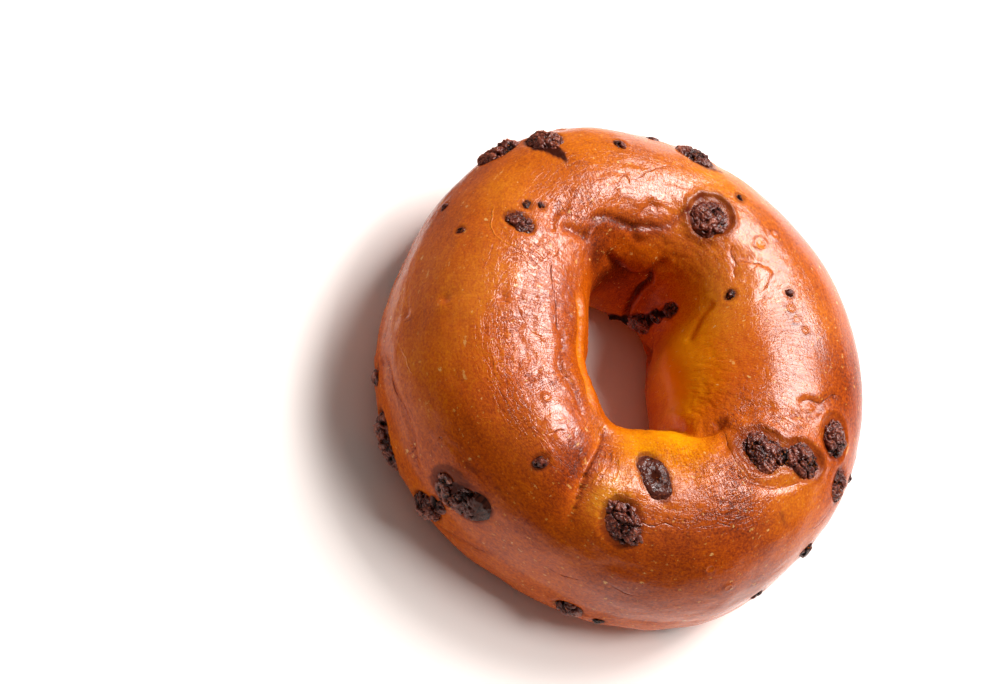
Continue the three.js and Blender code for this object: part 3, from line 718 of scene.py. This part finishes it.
def crustMaterial():
    look = crustLook
    material, tree = newMaterial("egg_washed_crust")
    place = addNode(tree, "TexCoord")
    names = ("bake", "gold", "wash", "fringe", "film", "crinkle", "crackSide", "crackDepth", "skinWay")
    bake, gold, wash, fringe, film, crinkle, side, depth, way = [
        addNode(tree, "Attribute", {"attribute_name": name}) for name in names
    ]

    tone = (bake, "Fac")
    middle = -0.03
    clouds = []
    for mottle in look["mottles"]:
        squeezed = addNode(tree, "Mapping", {"Scale": mottle["squeeze"]}, {"Vector": (way, "Vector")})
        cloud = addNode(tree, "TexNoise",
                        {"Scale": 1 / (mottle["size"] * mm), "Detail": 3.0, "Roughness": 0.6},
                        {"Vector": (squeezed, 0)})
        added = addNode(tree, "Math", {"operation": "MULTIPLY_ADD", 1: mottle["amount"]},
                        {0: (cloud, "Fac"), 2: tone})
        tone = (added, 0)
        middle -= mottle["amount"] / 2
        clouds.append(cloud)

    # each set of wrinkles is flat plates with narrow creases between them, where the plates swell a little,
    # and the creases are painted darker, as shade
    pores = addNode(tree, "TexNoise", {"Scale": 1 / (look["pore"] * mm), "Detail": 2.0},
                    {"Vector": (place, "Object")})
    bump = addNode(tree, "Bump", {"Distance": look["poreDepth"] * mm}, {"Height": (pores, "Fac")})
    creases = []
    for wrinkle in look["wrinkles"]:
        squeezed = addNode(tree, "Mapping", {"Scale": wrinkle["squeeze"]}, {"Vector": (way, "Vector")})
        cloud = addNode(tree, "TexNoise",
                        {"Scale": 1 / (wrinkle["size"] * mm), "Detail": 2.0, "Distortion": wrinkle["bend"]},
                        {"Vector": (squeezed, 0)})
        swell = addNode(tree, "Math", {"operation": "MULTIPLY_ADD", 1: 2.0, 2: -1.0}, {0: (cloud, "Fac")})
        away = addNode(tree, "Math", {"operation": "ABSOLUTE"}, {0: (swell, 0)})
        line = addNode(tree, "MapRange",
                       {"interpolation_type": "SMOOTHSTEP", "From Max": look["crease"],
                        "To Min": 1.0, "To Max": 0.0},
                       {"Value": (away, 0)})
        crease = addNode(tree, "Math", {"operation": "MULTIPLY"}, {0: (line, 0), 1: (crinkle, "Fac")})
        swelling = addNode(tree, "Math", {"operation": "MULTIPLY"}, {0: (swell, 0), 1: (crinkle, "Fac")})
        # painted shade: the tone darkens in each crease
        creaseShade = addNode(tree, "Math", {"operation": "MULTIPLY_ADD", 1: wrinkle["creaseShade"]},
                          {0: (crease, 0), 2: tone})
        tone = (creaseShade, 0)
        bump = addNode(tree, "Bump", {"Distance": wrinkle["crease"] * mm, "invert": True},
                       {"Height": (crease, 0), "Normal": (bump, 0)})
        bump = addNode(tree, "Bump", {"Distance": wrinkle["swell"] * mm},
                       {"Height": (swelling, 0), "Normal": (bump, 0)})
        creases.append(crease)

    # hair cracks, from each point's distance to the nearest one: painted darker along the cracks, as shade,
    # and paler along the raised hairs
    square = addNode(tree, "Math", {"operation": "MULTIPLY"}, {0: (side, "Fac"), 1: (side, "Fac")})
    narrow = addNode(tree, "Math", {"operation": "MULTIPLY", 1: -1 / look["crackWidth"] ** 2},
                     {0: (square, 0)})
    line = addNode(tree, "Math", {"operation": "EXPONENT"}, {0: (narrow, 0)})
    crack = addNode(tree, "Math", {"operation": "MULTIPLY"}, {0: (line, 0), 1: (depth, "Fac")})
    bump = addNode(tree, "Bump", {"Distance": look["crackDepth"] * mm, "invert": True},
                   {"Height": (crack, 0), "Normal": (bump, 0)})
    creaseShade = addNode(tree, "Math", {"operation": "MULTIPLY_ADD", 1: look["crackShade"]},
                      {0: (crack, 0), 2: tone})
    # the tone with the painted shade of creases and cracks in it
    shadedTone = addNode(tree, "Math", {"operation": "ADD", "use_clamp": True, 1: middle}, {0: (creaseShade, 0)})
    redder = addNode(tree, "ValToRGB", {"stops": look["redTones"]}, {"Fac": (shadedTone, 0)})
    golder = addNode(tree, "ValToRGB", {"stops": look["goldTones"]}, {"Fac": (shadedTone, 0)})
    colour = addNode(tree, "Mix", {"data_type": "RGBA", "clamp_factor": True},
                     {0: (gold, "Fac"), 6: (redder, "Color"), 7: (golder, "Color")})
    colour = addNode(tree, "Mix", {"data_type": "RGBA", 7: toLinear(look["fringe"])},
                     {0: (fringe, "Fac"), 6: (colour, 2)})

    for speck in look["specks"]:
        squeezed = addNode(tree, "Mapping", {"Scale": speck["squeeze"]}, {"Vector": (way, "Vector")})
        ragged = addNode(tree, "TexNoise", {"Scale": 1 / (look["ragged"]["size"] * mm), "Detail": 1.0},
                         {"Vector": (place, "Object")})
        shifted = addNode(tree, "VectorMath",
                          {"operation": "MULTIPLY_ADD", 1: (look["ragged"]["reach"] * mm,) * 3},
                          {0: (ragged, "Color"), 2: (squeezed, 0)})
        cells = addNode(tree, "TexVoronoi", {"Scale": 1 / (speck["between"] * mm)}, {"Vector": (shifted, 0)})
        draw = addNode(tree, "SeparateColor", {}, {"Color": (cells, "Color")})
        size = addNode(tree, "MapRange", {"From Min": 1 - speck["chance"], "To Max": speck["radius"]},
                       {"Value": (draw, "Red")})
        inside = addNode(tree, "Math", {"operation": "SUBTRACT"}, {0: (size, 0), 1: (cells, "Distance")})
        spot = addNode(tree, "MapRange", {"From Max": 0.4 * speck["radius"], "To Max": speck["amount"]},
                       {"Value": (inside, 0)})
        colour = addNode(tree, "Mix", {"data_type": "RGBA", 7: toLinear(speck["colour"])},
                         {0: (spot, 0), 6: (colour, 2)})

    filmColour = addNode(tree, "ValToRGB", {"stops": look["films"]}, {"Fac": (film, "Fac")})
    filmShare = addNode(tree, "Math", {"operation": "MULTIPLY", "use_clamp": True, 1: 1.8},
                        {0: (film, "Fac")})
    colour = addNode(tree, "Mix", {"data_type": "RGBA"},
                     {0: (filmShare, 0), 6: (colour, 2), 7: (filmColour, "Color")})
    clean = addNode(tree, "Math", {"operation": "SUBTRACT", 0: 1.0}, {1: (film, "Fac")})
    washed = addNode(tree, "Math", {"operation": "MULTIPLY"}, {0: (clean, 0), 1: (wash, "Fac")})
    # the shine is lower in the widest creases, as painted shade, and the broadest mottles make its shine
    # uneven
    smooth = addNode(tree, "Math", {"operation": "MULTIPLY_ADD", 1: -0.5},
                     {0: (creases[-1], 0), 2: (washed, 0)})
    shine = addNode(tree, "Math",
                    {"operation": "MULTIPLY_ADD", "use_clamp": True, 1: look["shine"], 2: look["bareShine"]},
                    {0: (smooth, 0)})
    coat = addNode(tree, "Math", {"operation": "MULTIPLY", "use_clamp": True, 1: look["coat"]},
                   {0: (smooth, 0)})
    least, most = look["roughness"]
    dull = addNode(tree, "MapRange", {"From Min": 0.3, "From Max": 0.7, "To Min": least, "To Max": most},
                   {"Value": (clouds[0], "Fac")})
    shader = addNode(tree, "BsdfPrincipled",
                     {"IOR": 1.4, "Coat Roughness": 0.2, "Coat IOR": 1.4, "Subsurface Weight": 0.05,
                      "Subsurface Radius": (1.0, 0.45, 0.2), "Subsurface Scale": 1.2 * mm},
                     {"Base Color": (colour, 2), "Roughness": (dull, 0), "Specular IOR Level": (shine, 0),
                      "Coat Weight": (coat, 0), "Normal": (bump, 0), "Coat Normal": (bump, 0)})
    addNode(tree, "OutputMaterial", {}, {"Surface": (shader, "BSDF")})
    return material


# Baked chocolate: melted and set again in the oven, so near black-brown and craggy, with cracks and pores,
# painted darker down in the cracks and pits as shade and paler on top, with greasy glints, and dusted with
# crumbs of crust. Where it ran it is a smooth glossy film.
chocolateLook = {
    # by relief: painted shade in the cracks and pits, paler on the tops
    "depths": [(0.0, "#080201"), (0.35, "#2E0C07"), (0.7, "#6A2718"), (1.0, "#AA583E")],
    "crumb": "#B85A1C",
    "melted": [(0.35, "#200A06"), (0.5, "#522619"), (0.65, "#30120B")],
    "patch": 1.3,  # mm, as the next four
    "dust": 0.6,
    "streak": 0.9,
    "pit": 0.75,
    "grain": 0.3,
    # the roughness and specular level at their least and most, and how much less where it melted
    "roughness": (0.18, 0.42),
    "shine": (0.08, 0.65),
    "meltedRoughness": 0.14,
    "meltedShine": 0.35,
}


def chocolateMaterial():
    look = chocolateLook
    material, tree = newMaterial("baked_dark_chocolate")
    place = addNode(tree, "TexCoord")
    relief = addNode(tree, "Attribute", {"attribute_name": "relief"})
    melt = addNode(tree, "Attribute", {"attribute_name": "melt"})
    here = {"Vector": (place, "Object")}
    patch = addNode(tree, "TexNoise",
                    {"Scale": 1 / (look["patch"] * mm), "Detail": 4.0, "Roughness": 0.65}, here)
    shade = addNode(tree, "Math", {"operation": "MULTIPLY_ADD", 1: 0.9, 2: -0.45}, {0: (patch, "Fac")})
    high = addNode(tree, "Math", {"operation": "ADD", "use_clamp": True},
                   {0: (relief, "Fac"), 1: (shade, 0)})
    colour = addNode(tree, "ValToRGB", {"stops": look["depths"]}, {"Fac": (high, 0)})
    dust = addNode(tree, "TexNoise",
                   {"Scale": 1 / (look["dust"] * mm), "Detail": 3.0, "Roughness": 0.6}, here)
    some = addNode(tree, "MapRange", {"From Min": 0.59, "From Max": 0.68, "To Max": 0.8},
                   {"Value": (dust, "Fac")})
    dusted = addNode(tree, "Mix", {"data_type": "RGBA", 7: toLinear(look["crumb"])},
                     {0: (some, 0), 6: (colour, "Color")})
    # streaks where the chocolate ran
    drawn = addNode(tree, "Mapping", {"Rotation": (0.0, 0.4, 0.9), "Scale": (1.0, 0.2, 0.3)}, here)
    streak = addNode(tree, "TexNoise",
                     {"Scale": 1 / (look["streak"] * mm), "Detail": 2.0, "Distortion": 0.5},
                     {"Vector": (drawn, 0)})
    ran = addNode(tree, "ValToRGB", {"stops": look["melted"]}, {"Fac": (streak, "Fac")})
    smooth = addNode(tree, "Mix", {"data_type": "RGBA"},
                     {0: (melt, "Fac"), 6: (dusted, 2), 7: (ran, "Color")})

    rough = addNode(tree, "Math", {"operation": "SUBTRACT", 0: 1.0}, {1: (melt, "Fac")})
    pits = addNode(tree, "TexVoronoi", {"Scale": 1 / (look["pit"] * mm)}, here)
    grain = addNode(tree, "TexNoise", {"Scale": 1 / (look["grain"] * mm), "Detail": 3.0}, here)
    pitted = addNode(tree, "Math", {"operation": "MULTIPLY"}, {0: (pits, "Distance"), 1: (rough, 0)})
    grained = addNode(tree, "Math", {"operation": "MULTIPLY"}, {0: (grain, "Fac"), 1: (rough, 0)})
    bump = addNode(tree, "Bump", {"Strength": 0.8, "Distance": 0.3 * mm}, {"Height": (pitted, 0)})
    bump = addNode(tree, "Bump", {"Strength": 0.8, "Distance": 0.15 * mm},
                   {"Height": (grained, 0), "Normal": (bump, 0)})
    bump = addNode(tree, "Bump", {"Distance": 0.12 * mm}, {"Height": (streak, "Fac"), "Normal": (bump, 0)})
    least, most = look["roughness"]
    dull = addNode(tree, "MapRange", {"From Min": 0.35, "From Max": 0.65, "To Min": least, "To Max": most},
                   {"Value": (patch, "Fac")})
    roughness = addNode(tree, "Math",
                        {"operation": "MULTIPLY_ADD", "use_clamp": True, 1: -look["meltedRoughness"]},
                        {0: (melt, "Fac"), 2: (dull, 0)})
    least, most = look["shine"]
    tops = addNode(tree, "MapRange", {"From Min": 0.25, "From Max": 0.75, "To Min": least, "To Max": most},
                   {"Value": (relief, "Fac")})
    shine = addNode(tree, "Math",
                    {"operation": "MULTIPLY_ADD", "use_clamp": True, 1: -look["meltedShine"]},
                    {0: (melt, "Fac"), 2: (tops, 0)})
    shader = addNode(tree, "BsdfPrincipled", {"IOR": 1.5},
                     {"Base Color": (smooth, 2), "Roughness": (roughness, 0),
                      "Specular IOR Level": (shine, 0), "Normal": (bump, 0)})
    addNode(tree, "OutputMaterial", {}, {"Surface": (shader, "BSDF")})
    return material


crust = crustMaterial()
chocolate = chocolateMaterial()


def deselectAll():
    for thing in bpy.context.view_layer.objects:
        thing.select_set(False)
    bpy.context.view_layer.objects.active = None


def makeActive(thing):
    deselectAll()
    thing.select_set(True)
    bpy.context.view_layer.objects.active = thing


def editAll(thing, action, **settings):
    # one of Blender's mesh actions, on all faces of one thing
    makeActive(thing)
    bpy.ops.object.mode_set(mode="EDIT")
    bpy.ops.mesh.select_all(action="SELECT")
    action(**settings)
    bpy.ops.object.mode_set(mode="OBJECT")


def readPoints(mesh):
    points = np.empty(len(mesh.vertices) * 3)
    mesh.vertices.foreach_get("co", points)
    return points.reshape(-1, 3)


def writePoints(mesh, points):
    mesh.vertices.foreach_set("co", np.ascontiguousarray(points).reshape(-1))
    mesh.update()


def addValues(mesh, name, values):
    # one number for each point, which a material reads by name
    layer = mesh.attributes.new(name, "FLOAT", "POINT")
    layer.data.foreach_set("value", np.asarray(values, dtype=np.float32))


def toFrame(points):
    # from mm about the ring's centre to metres in the frame
    return (points + np.array([*bagel["centre"], 0])) * mm


def setMaterial(thing, material):
    thing.data.materials.clear()
    thing.data.materials.append(material)


doughMesh = {"ringSteps": 252, "tubeSteps": 99, "ringRadius": 0.034, "tubeRadius": 0.02}


# Spreads even steps round the tube so that the crown and the lip, which show most, get the finest faces.
def spreadTube(share):
    fine = np.linspace(0, 360, 3601)
    points = smoothPoints(np.full(len(fine), 230.0), fine)
    length = np.linalg.norm(np.diff(points, axis=0), axis=1)
    middle = (fine[:-1] + fine[1:]) / 2
    weight = np.interp(middle, [0, 40, 150, 190, 215, 320, 360], [1.0, 1.3, 1.3, 0.9, 0.4, 0.4, 1.0])
    reach = np.concatenate([[0], np.cumsum(length * weight)])
    return np.interp(share * reach[-1], reach, fine)


def makeDough():
    size = doughMesh
    deselectAll()
    bpy.ops.mesh.primitive_torus_add(major_segments=size["ringSteps"], minor_segments=size["tubeSteps"],
                                     major_radius=size["ringRadius"], minor_radius=size["tubeRadius"])
    dough = bpy.context.object
    dough.name = "dough_crust"
    editAll(dough, bpy.ops.mesh.subdivide, number_cuts=1)
    # each point of the torus goes to the same place round the bagel
    x, y, z = readPoints(dough.data).T
    ringAngle = np.degrees(np.arctan2(y, x)) % 360
    tubeAngle = spreadTube(np.degrees(np.arctan2(z, np.hypot(x, y) - size["ringRadius"])) % 360 / 360)
    moved, foldTone, fringe = crustPoints(ringAngle, tubeAngle)
    writePoints(dough.data, toFrame(moved))

    smooth = smoothPoints(ringAngle, tubeAngle)
    out = directions(ringAngle, tubeAngle)[0]
    side, depth = crackFields(smooth, out)
    # the bake tone, with painted shade from the listed spots, the folds and the seam
    addValues(dough.data, "bake", crustTone(smooth) + foldTone)
    addValues(dough.data, "gold", crustGold(smooth))
    addValues(dough.data, "crinkle", crinkleShare(smooth, ringAngle, tubeAngle))
    wash = washShare(smooth, ringAngle, tubeAngle)
    addValues(dough.data, "wash", wash * (1 - 0.85 * np.clip(fringe, 0, 1)))
    addValues(dough.data, "fringe", fringe)
    addValues(dough.data, "film", filmFields(smooth, out)[0])
    addValues(dough.data, "crackSide", side)
    addValues(dough.data, "crackDepth", depth)
    way = skinPlace(ringAngle, tubeAngle) * mm
    layer = dough.data.attributes.new("skinWay", "FLOAT_VECTOR", "POINT")
    layer.data.foreach_set("vector", way.astype(np.float32).reshape(-1))

    editAll(dough, bpy.ops.mesh.normals_make_consistent, inside=False)
    bpy.ops.object.shade_smooth()
    bpy.ops.object.transform_apply(location=True, rotation=True, scale=True)
    setMaterial(dough, crust)
    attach(dough, "root")
    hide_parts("dough")
    print("dough:", len(dough.data.polygons), "faces")


# How craggy the chips are, with sizes in mm, and those that melted smoother, where 1 is a plain one.
chipLook = {
    "rounding": 4,  # levels
    "baseRounding": 3,
    "lobe": 3.2,
    "crack": 1.9,
    "pit": 1.5,
    "rubble": 1.0,
    "grain": 0.5,
}
smootherChips = {
    "chip_round": 0.6, "chip_lip_upper": 0.3, "chip_rim_far": 0.7, "chip_pair_small": 0.85,
    "chip_crown_left": 0.85,
}
# Chips that are paler all over than the others, and by how much.
palerChips = {"chip_round": 0.14, "chip_lip_lower": 0.06, "chip_rim_top": 0.05, "chip_front_low": 0.05}
# How much larger than their solids some chips melted, along x, y and z, and how many mm they sagged.
swollenChips = {
    "chip_round": ((1.22, 1.22, 1.12), (0.3, 0.25, 0)),
    "chip_lip_upper": ((1.2, 1.2, 1.1), (0, 0.3, 0)),
    "chip_lip_lower": ((1.12, 0.88, 1.0), (0.3, 0, 0)),
    "chip_crown_left": ((1.15, 1.15, 1.1), (0.4, -0.2, 0)),
    "chip_pair_large": ((1.08, 1.04, 1.05), (0.4, -0.1, 0)),
    "chip_hole_wall": ((1.15, 1.15, 1.15), (0, 0, 0)),
    "chip_hole_high": ((1.2, 1.2, 1.2), (0, 0, 0)),
}
clearOfFloor = 0.05  # mm, the least height of any chocolate


# Lumps with narrow cracks between them, a few deep pits where bubbles burst, and a crumbly grain.
def chipRelief(points, seed, craggy):
    look = chipLook
    bent = points + 0.6 * np.stack([softNoise(points, 1.5, seed + axis) for axis in range(3)], axis=1)
    lumps = softNoise(bent, look["lobe"], seed + 10)
    cracked = rise(0.3, 0, np.abs(softNoise(bent, look["crack"], seed + 20)))
    pits = rise(0.3, 0.65, softNoise(bent, look["pit"], seed + 40))
    grain = roughNoise(points, look["grain"], seed + 60, 2)
    rubble = pebbleNoise(bent, look["rubble"], seed + 80)
    return 0.42 * lumps + craggy * (0.05 - 0.45 * cracked - 0.6 * pits + 0.3 * rubble + 0.14 * grain)


def makeChip(name, number):
    source = frame["nodes"][name]
    piece = source.copy()
    piece.data = source.data.copy()
    piece.name = name.replace("chip_", "chocolate_")
    bpy.context.scene.collection.objects.link(piece)
    editAll(piece, bpy.ops.mesh.remove_doubles, threshold=0.00001)
    modifier = piece.modifiers.new("rounding", "SUBSURF")
    level = chipLook["baseRounding" if name.startswith("chip_base") else "rounding"]
    modifier.levels = modifier.render_levels = level
    bpy.ops.object.modifier_apply(modifier="rounding")
    bpy.ops.object.shade_smooth()

    mesh = piece.data
    points = readPoints(mesh) / mm
    normals = np.empty(len(mesh.vertices) * 3)
    mesh.vertices.foreach_get("normal", normals)
    centre = points.mean(axis=0)
    larger, sagged = swollenChips.get(name, ((1.03, 1.03, 1.03), (0, 0, 0)))
    points = centre + (points - centre) * np.array(larger) + np.array(sagged)
    melt = np.zeros(len(points))
    if name == "chip_front_melted":
        # its outer end is craggy and the rest ran into a film
        inwards = (points - centre) @ unit(np.array([0.75, 0.2, 0.35]))
        melt = rise(-0.4, 2.0, inwards + 0.5 * softNoise(points, 2.2, 380))
    if name == "chip_lip_upper":
        melt += 0.5
    craggy = smootherChips.get(name, 1) * (1 - 0.85 * melt)
    relief = chipRelief(points, 400 + 7 * number, craggy)
    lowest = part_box(name)[0][2] / mm
    points += normals.reshape(-1, 3) * relief[:, None]
    points[:, 2] = np.maximum(points[:, 2], max(lowest, clearOfFloor))
    writePoints(mesh, points * mm)
    addValues(mesh, "relief", 0.55 + 0.7 * relief + palerChips.get(name, 0))
    addValues(mesh, "melt", melt)
    setMaterial(piece, chocolate)
    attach(piece, "root")
    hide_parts(name)


# Small chips and crumbs of chocolate that lie in the crust, as one piece.
def makeCrumbs():
    places = np.array([place for place, across in crumbs], dtype=float)
    out, along, rounds = directions(places[:, 0], places[:, 1])
    surface = crustPoints(places[:, 0], places[:, 1])[0]
    made = []
    for number, (place, across) in enumerate(crumbs):
        deselectAll()
        bpy.ops.mesh.primitive_ico_sphere_add(subdivisions=4, radius=across / 2 * mm)
        crumb = bpy.context.object
        points = readPoints(crumb.data) / mm
        relief = 0.16 * across * softNoise(points, 0.4 * across, 600 + number)
        relief -= 0.14 * across * rise(0.1, 0.6, softNoise(points, 0.7, 650 + number))
        points = (points + unit(points) * relief[:, None]) * np.array([1.12, 0.9, 0.8])
        basis = np.stack([along[number], rounds[number], out[number]], axis=1)
        spin = math.radians(number * 40)
        east, north = math.cos(spin), math.sin(spin)
        flat = np.array([[east, -north, 0], [north, east, 0], [0, 0, 1]])
        points = points @ flat.T @ basis.T + surface[number] - out[number] * across * 0.18
        points[:, 2] = np.maximum(points[:, 2], clearOfFloor)
        writePoints(crumb.data, toFrame(points))
        addValues(crumb.data, "relief", 0.45 + 0.9 * relief)
        addValues(crumb.data, "melt", np.zeros(len(points)))
        made.append(crumb)
    deselectAll()
    for crumb in made:
        crumb.select_set(True)
    bpy.context.view_layer.objects.active = made[0]
    bpy.ops.object.join()
    piece = bpy.context.object
    piece.name = "chocolate_crumbs"
    bpy.ops.object.shade_smooth()
    setMaterial(piece, chocolate)
    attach(piece, "root")
    print("crumbs:", len(made))


makeDough()
for number, name in enumerate(chipNames):
    makeChip(name, number)
print("chips:", len(chipNames))
makeCrumbs()

stage = {
    "floorSize": 8.0,  # m
    "floorColour": "#FAF0EA",
    "worldColour": "#FFFCF8",
    "brightWay": (-0.1, 0.8, 0.6),  # the room is brightest this way and darkest behind the camera
    "darkest": 0.09,
    "brightest": 0.36,
    "cardColour": "#D8B8A8",
    "cardSize": (0.2, 0.075),  # m, along and up
    "cardPlace": (-0.064, 0.015),
}


def plainMaterial(name, colour, roughness):
    material, tree = newMaterial(name)
    shader = addNode(tree, "BsdfPrincipled", {"Base Color": toLinear(colour), "Roughness": roughness})
    addNode(tree, "OutputMaterial", {}, {"Surface": (shader, "BSDF")})
    return material


def makeFloor():
    deselectAll()
    bpy.ops.mesh.primitive_plane_add(size=stage["floorSize"])
    floor = bpy.context.object
    floor.name = "floor"
    setMaterial(floor, plainMaterial("matt_white_paper", stage["floorColour"], 0.6))


# A tan card in place of the next bread along the row, which shows in shine alone.
def makeCard():
    deselectAll()
    bpy.ops.mesh.primitive_plane_add(size=1)
    card = bpy.context.object
    card.name = "tan_card"
    along, high = stage["cardSize"]
    card.scale = (high, along, 1)
    card.rotation_euler = (0, math.radians(90), 0)
    card.location = (*stage["cardPlace"], high / 2)
    bpy.ops.object.transform_apply(location=True, rotation=True, scale=True)
    setMaterial(card, plainMaterial("tan_card", stage["cardColour"], 0.8))
    card.visible_camera = card.visible_diffuse = card.visible_shadow = False


def makeWorld():
    world = bpy.data.worlds.new("studio")
    bpy.context.scene.world = world
    world.use_nodes = True
    tree = world.node_tree
    place = addNode(tree, "TexCoord")
    facing = addNode(tree, "VectorMath", {"operation": "DOT_PRODUCT", 1: stage["brightWay"]},
                     {0: (place, "Generated")})
    strength = addNode(tree, "MapRange",
                       {"From Min": -0.35, "From Max": 0.85, "To Min": stage["darkest"],
                        "To Max": stage["brightest"]},
                       {"Value": (facing, "Value")})
    background = tree.nodes["Background"]
    background.inputs["Color"].default_value = toLinear(stage["worldColour"])
    tree.links.new(strength.outputs[0], background.inputs["Strength"])


# Soft boxes: the direction they shine from, metres away, side and watts.
softBoxes = {
    "window_box": {"from": (0.08, 0.585, 0.81), "away": 0.8, "side": 0.4, "watts": 9.4},
    "floor_box": {"from": (0.42, 0.2, 1), "away": 0.8, "side": 0.3, "watts": 3.9, "lights": "floor"},
}


def makeLights():
    for name, box in softBoxes.items():
        data = bpy.data.lights.new(name, "AREA")
        data.shape = "SQUARE"
        data.size = box["side"]
        data.energy = box["watts"]
        light = bpy.data.objects.new(name, data)
        bpy.context.scene.collection.objects.link(light)
        way = Vector(box["from"]).normalized()
        light.location = way * box["away"] + Vector((0, 0, 0.02))
        light.rotation_euler = way.to_track_quat("Z", "Y").to_euler()
        if "lights" in box:  # this box lights one thing alone
            alone = bpy.data.collections.new(name + "_lights")
            alone.objects.link(bpy.data.objects[box["lights"]])
            light.light_linking.receiver_collection = alone


# The camera looks down on the bagel and is rolled, as one that leans on its neighbours is seen.
camera = {
    "elevation": 58,
    "roll": 45,
    "distance": 0.6,
    "lens": 100,  # mm, as the sensor
    "sensor": 36,
    "target": (0.00023, -0.00075, 0.017),
    "targetPixel": (617.6, 380.0),
    "imageSize": (1000, 684),
}


def makeCamera():
    data = bpy.data.cameras.new("camera")
    data.lens = camera["lens"]
    data.sensor_width = camera["sensor"]
    width, height = camera["imageSize"]
    pixels = camera["lens"] / camera["sensor"] * width  # focal length in pixels
    tilt, roll = math.radians(camera["elevation"]), math.radians(camera["roll"])
    back = Vector((0, -math.cos(tilt), math.sin(tilt)))
    side, up = Vector((1, 0, 0)), Vector((0, math.sin(tilt), math.cos(tilt)))
    right = math.cos(roll) * side + math.sin(roll) * up
    top = -math.sin(roll) * side + math.cos(roll) * up
    target = Vector(camera["target"])
    place = target + back * camera["distance"]
    across = (camera["targetPixel"][0] - width / 2) / pixels * camera["distance"]
    down = (camera["targetPixel"][1] - height / 2) / pixels * camera["distance"]
    aim = target - right * across + top * down
    view = (aim - place).normalized()
    right = (right - view * right.dot(view)).normalized()
    top = right.cross(view)
    turn = Matrix((right, top, -view)).transposed()
    eye = bpy.data.objects.new("camera", data)
    bpy.context.scene.collection.objects.link(eye)
    eye.matrix_world = Matrix.Translation(place) @ turn.to_4x4()
    bpy.context.scene.camera = eye


makeFloor()
makeCard()
makeWorld()
makeLights()
makeCamera()
bpy.context.scene.view_settings.view_transform = "Standard"
print("stage, lights and camera are set")
